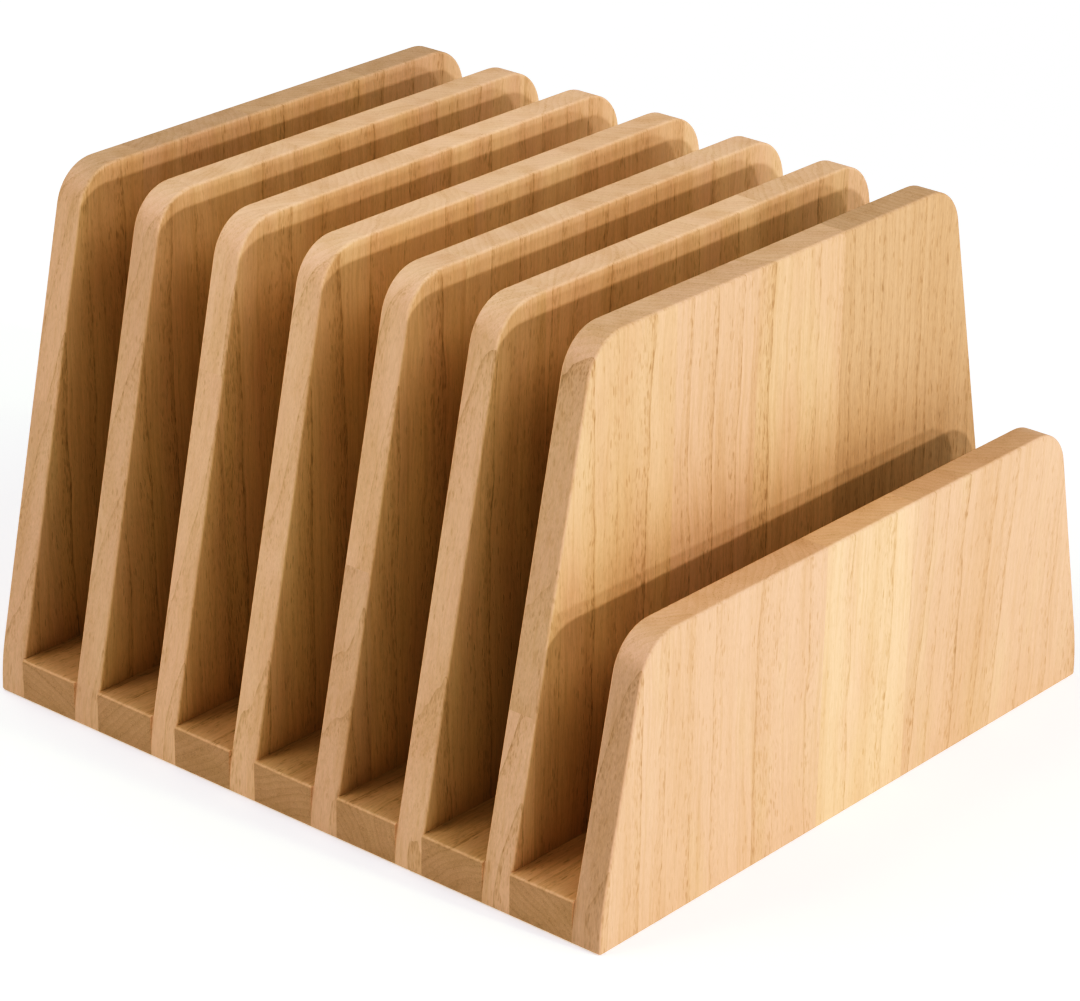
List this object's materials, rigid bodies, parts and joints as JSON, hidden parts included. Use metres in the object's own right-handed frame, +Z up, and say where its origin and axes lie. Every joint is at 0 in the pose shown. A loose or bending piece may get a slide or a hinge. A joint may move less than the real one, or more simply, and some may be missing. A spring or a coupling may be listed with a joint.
{
  "type": "desktop file sorter",
  "caption": "Desktop file sorter: tapered upright wooden boards with rounded shoulders stand in a row on glued spacer blocks, with a short board in front.",
  "frame": {"origin": "on the desk, under the middle of the sorter's bounding box", "axes": "+Z up, +Y from the short front board to the tall back board, +X to the right along the boards as seen from the front"},
  "size_m": [0.25, 0.2594, 0.176],
  "materials": {
    "board_wood": "sanded and lightly oiled hardwood, satin",
    "spacer_wood": "sanded and lightly oiled hardwood, satin, end grain at both ends",
    "dowel_wood": "plain turned hardwood, unfinished"
  },
  "bodies": {
    "root": {"front_board": "board_wood", "divider_1": "board_wood", "divider_2": "board_wood", "divider_3": "board_wood", "divider_4": "board_wood", "divider_5": "board_wood", "divider_6": "board_wood", "back_board": "board_wood", "spacer_1": "spacer_wood", "spacer_2": "spacer_wood", "spacer_3": "spacer_wood", "spacer_4": "spacer_wood", "spacer_5": "spacer_wood", "spacer_6": "spacer_wood", "spacer_7": "spacer_wood", "dowel_rods": "dowel_wood"}
  },
  "joints": []
}
